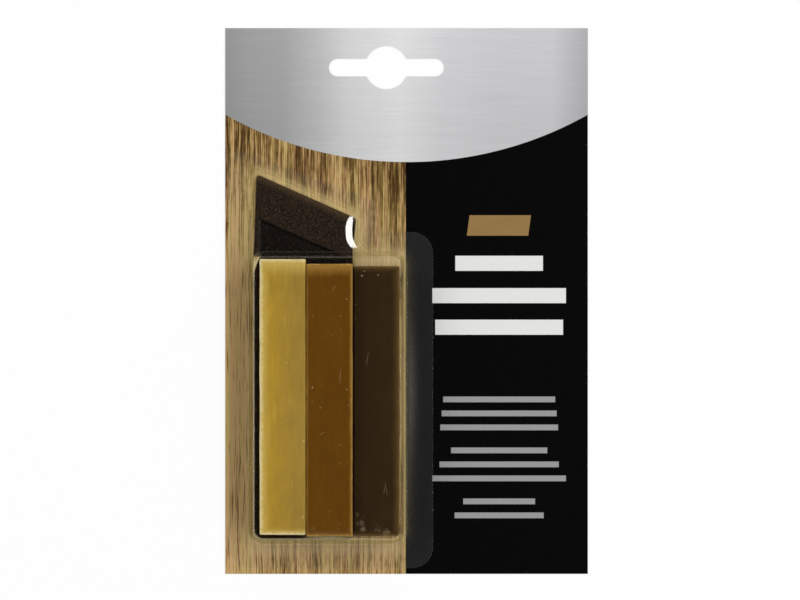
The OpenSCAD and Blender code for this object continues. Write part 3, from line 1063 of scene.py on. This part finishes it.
def sag_left(y):
    """Where the sunken part of the film begins at height y, a curve bulging to the left."""
    away = y - SAG_MIDDLE[1]
    return SAG_MIDDLE[0] + np.where(away > 0, 0.105 * away**2, 0.0125 * np.abs(away) ** 3)


def blister_mesh(film):
    """One sheet of film: a flange, a shallow cavity over the blade and a deep one over the sticks."""
    deep_wall = Wall(FILM_FRONT, DEEP_EDGE, film.draft)
    shallow_wall = Wall(SHALLOW_FRONT, SHALLOW_EDGE, film.draft)
    outlines = deep, shallow, flange = Outline(DEEP_CORNERS), Outline(SHALLOW_CORNERS), Outline(FLANGE_CORNERS)

    def height(points, distances):
        to_deep, to_shallow, to_flange = distances
        x, y = points[:, 0], points[:, 1]
        ripple = np.sin(x * 0.21 + y * 0.05 + 0.6) * np.sin(y * 0.13 - x * 0.07) * 0.5 + 0.5
        beside = ramp(x, DEEP_RIGHT, DEEP_RIGHT + 1.2) * window(y, -25, LIFT_HALF)
        lift = film.lift * ramp(to_deep, 7.2, 2.0) ** 2 * beside
        base = FLANGE_TOP + lift * ramp(to_flange, 0, -1.5)
        inside = x - sag_left(y) - np.maximum(to_shallow + film.sag_rim, 0)
        inside = (inside + np.sqrt(inside**2 + 0.003)) / 2
        drop = film.sag * np.minimum(inside, 2.2) * (x < HANDLE_RIGHT + 2.2)
        drop = drop * ramp(y, DEEP_HEAD + 0.4, DEEP_HEAD + 1.2)
        level = shallow_wall.height(to_shallow, base, drop + ripple * 0.03)
        return deep_wall.height(to_deep, level, ripple * 0.04)

    rings = [closed(deep.ring(station)) for station in deep_wall.stations(FLANGE_TOP, SHALLOW_FRONT)]
    sag_rim = [-film.sag_rim + shift for shift in (-0.12, -0.03, 0.03, 0.12)]
    for station in shallow_wall.stations(FLANGE_TOP) + sag_rim:
        ring = shallow.ring(station, 1.2)
        rings.append((ring, deep.outside(ring) > deep_wall.edge_start - 0.55))
    up = np.linspace(DEEP_HEAD + 1.4, TIP[1] + 0.6, 44)
    rings += [line(np.column_stack((sag_left(up) + shift, up))) for shift in (-0.12, -0.04, 0.04, 0.12, 0.6)]
    rings += [closed(flange.ring(-inset, 2.0)) for inset in (0.015, 0.06, 0.15, 0.4)]
    grid = grid_points(FILM[0], FILM[1], 2.0)
    to_deep, to_shallow, to_flange = (o.outside(grid) for o in outlines)
    clear = (to_flange < -0.9) & ((to_deep < deep_wall.edge_start - 1.0) | (to_deep > 2.6))
    clear &= (to_shallow < -1.9) | (to_shallow > 1.6) | (to_deep < 0)
    corners, triangles = plan(flange.ring(0.0, 2.0), rings, grid[clear])

    level, normals = normals_of(height, corners, outlines)
    top_level, top_normals = normals_of(lambda p, d: height(p, d) - round_over(d[2], 0.15), corners, outlines)
    under = np.column_stack((corners, level)) - normals * film.thickness
    x, y = corners.T
    to_deep, to_shallow, to_flange = (o.outside(corners) for o in outlines)
    at_rim = np.abs(to_flange) < 1e-3
    top_normals[at_rim] = normals[at_rim]

    # Which way each point's nearest wall of the deep cavity faces
    low = np.array((DEEP_LEFT, DEEP_FOOT)) + DEEP_ROUND
    way = corners - np.clip(corners, low, np.array((DEEP_RIGHT, DEEP_HEAD)) - DEEP_ROUND)
    way = way / np.maximum(np.linalg.norm(way, axis=1), 1e-6)[:, None]
    left, foot = np.clip(-way, 0, 1).T ** 2
    right, head = np.clip(way, 0, 1).T ** 2

    sealed = ramp(top_level, FLANGE_TOP + 0.8, FLANGE_TOP + 0.4)
    off_tool = ramp(Outline(TOOL_CORNERS).outside(corners), 0, 0.4)
    rounds_stick = ramp(to_deep, 0.5, 1.0) * ramp(to_deep, 5.4, 1.0) ** 1.9
    rounds_blade = ramp(to_shallow, 2.0, 0.4) * ramp(to_shallow, -1.5, -1.2) * off_tool * (to_deep > 0.9)
    rim = ramp(to_flange, -0.4, 0)
    over_foot = window(x, (MEDIUM[0][0] + MEDIUM[1][0]) / 2, 7.2) ** 0.3
    # Painted highlight: pale lines on the bend of the deep cavity's edge and at its corners
    crest = (
        window(to_deep, -0.1, 0.42) * (left * 0.2 + foot * 0.36)
        + window(to_deep, 0.4, 1.3) * (left + right) * (foot + head) * 0.88
        + window(to_deep, -0.45, 0.35) * head * 0.06
        + window(to_deep, -0.6, 0.5) * foot * over_foot * 0.36
    )
    # Painted light: a halo beside the blade's walls, along the flange's rim and beside the deep cavity
    halo = np.maximum(rounds_blade, np.maximum(rim * 0.03, rounds_stick * 0.17) * sealed)
    # The gloss is fainter on the fillets and over the contents than where the film has sunk beside the blade
    before_sag = ramp(x, sag_left(y) - 0.6, sag_left(y) - 1.4)
    dull = np.max(
        (
            window(to_deep, 1.6, 1.2) * (1 - foot),
            window(to_shallow, 0.4, 0.6) * (to_deep > 1.2),
            ramp(to_deep, -0.4, -0.7) * 0.85,
            window(to_deep, -0.2, 0.8) * right * 0.9,
            rim * 0.9,
            (to_deep > 1.2) * (to_shallow < 0) * before_sag * 0.7,
        ),
        axis=0,
    )
    return sheet_solid(
        "blister_film", triangles, np.column_stack((corners, top_level)), under, top_normals, -normals,
        # The bonded flange's haze, with a painted sheen beside the deep cavity
        seal=sealed * (0.5 + rounds_stick * window(y, -27, LIFT_HALF)),
        # Painted light: the halo beside the walls
        halo=halo + window(to_deep, 1.6, 0.9) * right * 0.2,
        # Where the walls show the painted reflection of the wood
        wall=left * 0.1 + right * 0.14 + foot * 0.8 + head * 0.35 * off_tool,
        # Painted highlight on the bend
        crest=crest,
        # Share of the walls' painted olive tint
        stain=np.maximum(ramp(to_deep, 2.6, 2.2), 0.2) * (1 - head * 0.7),
        dull=np.tile(dull, 2),
    )


def film_material(film):
    """Clear film. It mirrors more where it is seen from its side, and lamps shine through it; its deeper olive tone
    from the side is a painted reflection of the wood.
    Shaders are laid over one another, each by its share: that tint, gloss, the bonded flange's haze with a painted
    sheen, a painted halo and the walls' painted reflection, and painted highlights."""
    finish = Finish("clear_film", {"Base Color": (1.0, 0.98, 0.94, 1.0), "Metallic": 1.0, "Roughness": 0.1})
    side = finish.node("ShaderNodeLayerWeight", {"Blend": 0.5}, "Facing")
    lit = 1 - finish.ray("Shadow", "Diffuse")
    seal, halo, wall, crest, stain, dull = (
        finish.node("ShaderNodeAttribute", output="Fac", attribute_name=name)
        for name in ("seal", "halo", "wall", "crest", "stain", "dull")
    )
    # Painted light: a pale glare painted in a corner and pale light over the gap at the dark stick's head,
    # and a painted reflection that makes the right wall pale over the wood where it is seen from its side
    x, y, z = finish.split(finish.place)
    across, along = x - DEEP_LEFT, DEEP_HEAD - y
    reach = ((1 - along / 8.0).most(0.0)) ** 2.0 * 2.1
    corner = (reach - across).rise(-0.1, 0.25) * across.rise(-0.2, 0.15) * along.rise(-0.1, 0.5)
    gap = (DARK[0][0] + 0.4, DARK[1][1] + 0.2, DEEP_RIGHT - 0.5, DEEP_HEAD - 0.5)
    gap = finish.box_mask(x, y, gap, 0.4) * z.rise(FILM_FRONT - 1.0, FILM_FRONT - 0.6)
    pale = (DEEP_RIGHT + 0.55, DEEP_FOOT + 1.0, DEEP_RIGHT + 1.25, DEEP_HEAD - 1.0)
    pale = finish.box_mask(x, y, pale, 0.3) * side**4
    patches = finish.noise(finish.place, 0.12, 3.0, 0.6, seed=14.0) * 0.6 + 0.7

    clear, deep = (finish.node("ShaderNodeBsdfTransparent", {0: tone}) for tone in ((1.0, 1.0, 1.0, 1.0), film.tint[:]))
    bond, glow, painted_highlight = (
        finish.node("ShaderNodeBsdfDiffuse", {0: tone})
        for tone in ((0.85, 0.86, 0.88, 1.0), film.glow[:], ink(208, 188, 136))
    )
    sheet = clear
    for share, shader in (
        (side * side * stain, deep),
        ((side**5 * film.edge_mirror + film.mirror) * (1 - dull * 0.85), finish.shader),
        (seal * patches * film.haze, bond),
        (halo * film.halo + side**3 * wall * film.wall_painted_reflection, glow),
        (most_of((crest * film.crest, corner * 0.48, gap * 0.12, pale * 0.7)), painted_highlight),
    ):
        sheet = finish.cover(share * lit, sheet, shader)
    return finish.done(surface=sheet)


class WAXSET_OT_blister(bpy.types.Operator):
    """Form the clear blister over the sticks and the blade."""

    bl_idname = "waxset.blister"
    bl_label = "Blister"

    def execute(self, context):
        film = context.scene.waxset_blister
        mesh = blister_mesh(film)
        mesh.materials.append(film_material(film))
        piece(mesh, "blister", "clear_film", "blister")
        return {"FINISHED"}


# Stage


def lamp(name, radiance, azimuth, zenith, distance, width, height):
    """Soft lamp of a given radiance that faces the pack; zenith is its angle from straight above."""
    light = bpy.data.lights.new(name, "AREA")
    light.shape = "RECTANGLE"
    light.size = width
    light.size_y = height
    light.energy = radiance * math.pi * width * height
    made = bpy.data.objects.new(name, light)
    a, z = math.radians(azimuth), math.radians(zenith)
    way = Vector((math.sin(z) * math.cos(a), math.sin(z) * math.sin(a), math.cos(z)))
    made.location = way * distance
    made.rotation_euler = way.to_track_quat("Z", "Y").to_euler()
    bpy.context.scene.collection.objects.link(made)


def room_light(stage):
    """Soft light from all round, dimmer straight above, on a white background."""
    world = bpy.data.worlds.new("soft_room")
    world.use_nodes = True
    tree = Tree(world.node_tree)
    tree.nodes.nodes.clear()
    up = tree.split(tree.node("ShaderNodeTexCoord", output="Generated"))[2]
    strength = stage.overhead + (stage.world - stage.overhead) * up.rise(0.996, 0.945)
    soft, white = (tree.node("ShaderNodeBackground", {"Strength": power}) for power in (strength, 1.0))
    tree.node("ShaderNodeOutputWorld", {"Surface": tree.cover(tree.ray("Camera"), soft, white)})
    bpy.context.scene.world = world


def floor_piece():
    """Wide pale floor that the pack lies on."""
    mesh = bpy.data.meshes.new("studio_floor")
    reach, level = 4.0, -0.05 * MM
    corners = ((-reach, -reach), (reach, -reach), (reach, reach), (-reach, reach))
    mesh.from_pydata([(x, y, level) for x, y in corners], [], [(0, 1, 2, 3)])
    finish = Finish("pale_floor", {"Base Color": ink(250, 250, 250), "Roughness": 0.9})
    white = finish.node("ShaderNodeEmission", {"Strength": 1.0})
    shown = finish.ray("Camera", "Transmission") * 0.85
    mesh.materials.append(finish.done(surface=finish.cover(shown, finish.shader, white)))
    made = bpy.data.objects.new("studio_floor", mesh)
    bpy.context.scene.collection.objects.link(made)


class WAXSET_OT_stage(bpy.types.Operator):
    """Set the floor, the soft lamps and the camera."""

    bl_idname = "waxset.stage"
    bl_label = "Stage"

    def execute(self, context):
        stage = context.scene.waxset_stage
        floor_piece()
        room_light(stage)
        lamp("key_softbox", stage.key, 8, 35, 1.3, 1.5, 0.25)
        lamp("fill_softbox", stage.fill, 172, 50, 1.3, 0.7, 0.45)
        camera = bpy.data.cameras.new("photo_camera")
        camera.sensor_width = 36.0
        camera.lens = camera.sensor_width * (stage.distance - CARD[1][2] * MM) / stage.view_width
        camera.clip_end = 20.0
        made = bpy.data.objects.new("photo_camera", camera)
        made.location = (-1.81 * MM, 0.28 * MM, stage.distance)
        context.scene.collection.objects.link(made)
        context.scene.camera = made
        context.scene.view_settings.view_transform = "Standard"
        return {"FINISHED"}


class WAXSET_PT_panel(bpy.types.Panel):
    """Sizes, colours and steps of the wax stick set."""

    bl_idname = "WAXSET_PT_panel"
    bl_label = "Repair wax stick set"
    bl_space_type = "VIEW_3D"
    bl_region_type = "UI"
    bl_category = "Wax sticks"

    def draw(self, context):
        for name, (group, operator) in STEPS.items():
            box = self.layout.box()
            box.label(text=operator.bl_label)
            values = getattr(context.scene, name)
            for value in group.__annotations__:
                box.prop(values, value)
            box.operator(operator.bl_idname)


STEPS = {
    "waxset_card": (CardProperties, WAXSET_OT_card),
    "waxset_applicator": (ApplicatorProperties, WAXSET_OT_applicator),
    "waxset_sticks": (StickProperties, WAXSET_OT_sticks),
    "waxset_blister": (BlisterProperties, WAXSET_OT_blister),
    "waxset_stage": (StageProperties, WAXSET_OT_stage),
}
CLASSES = [kind for pair in STEPS.values() for kind in pair] + [WAXSET_PT_panel]


def register():
    for kind in CLASSES:
        bpy.utils.register_class(kind)
    for name, (group, _) in STEPS.items():
        setattr(bpy.types.Scene, name, bpy.props.PointerProperty(type=group))


def unregister():
    for name in STEPS:
        delattr(bpy.types.Scene, name)
    for kind in reversed(CLASSES):
        bpy.utils.unregister_class(kind)


def main():
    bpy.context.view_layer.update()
    register()
    bpy.ops.waxset.stage()
    bpy.ops.waxset.card()
    bpy.ops.waxset.applicator()
    bpy.ops.waxset.sticks()
    bpy.ops.waxset.blister()


if __name__ == "__main__":
    main()
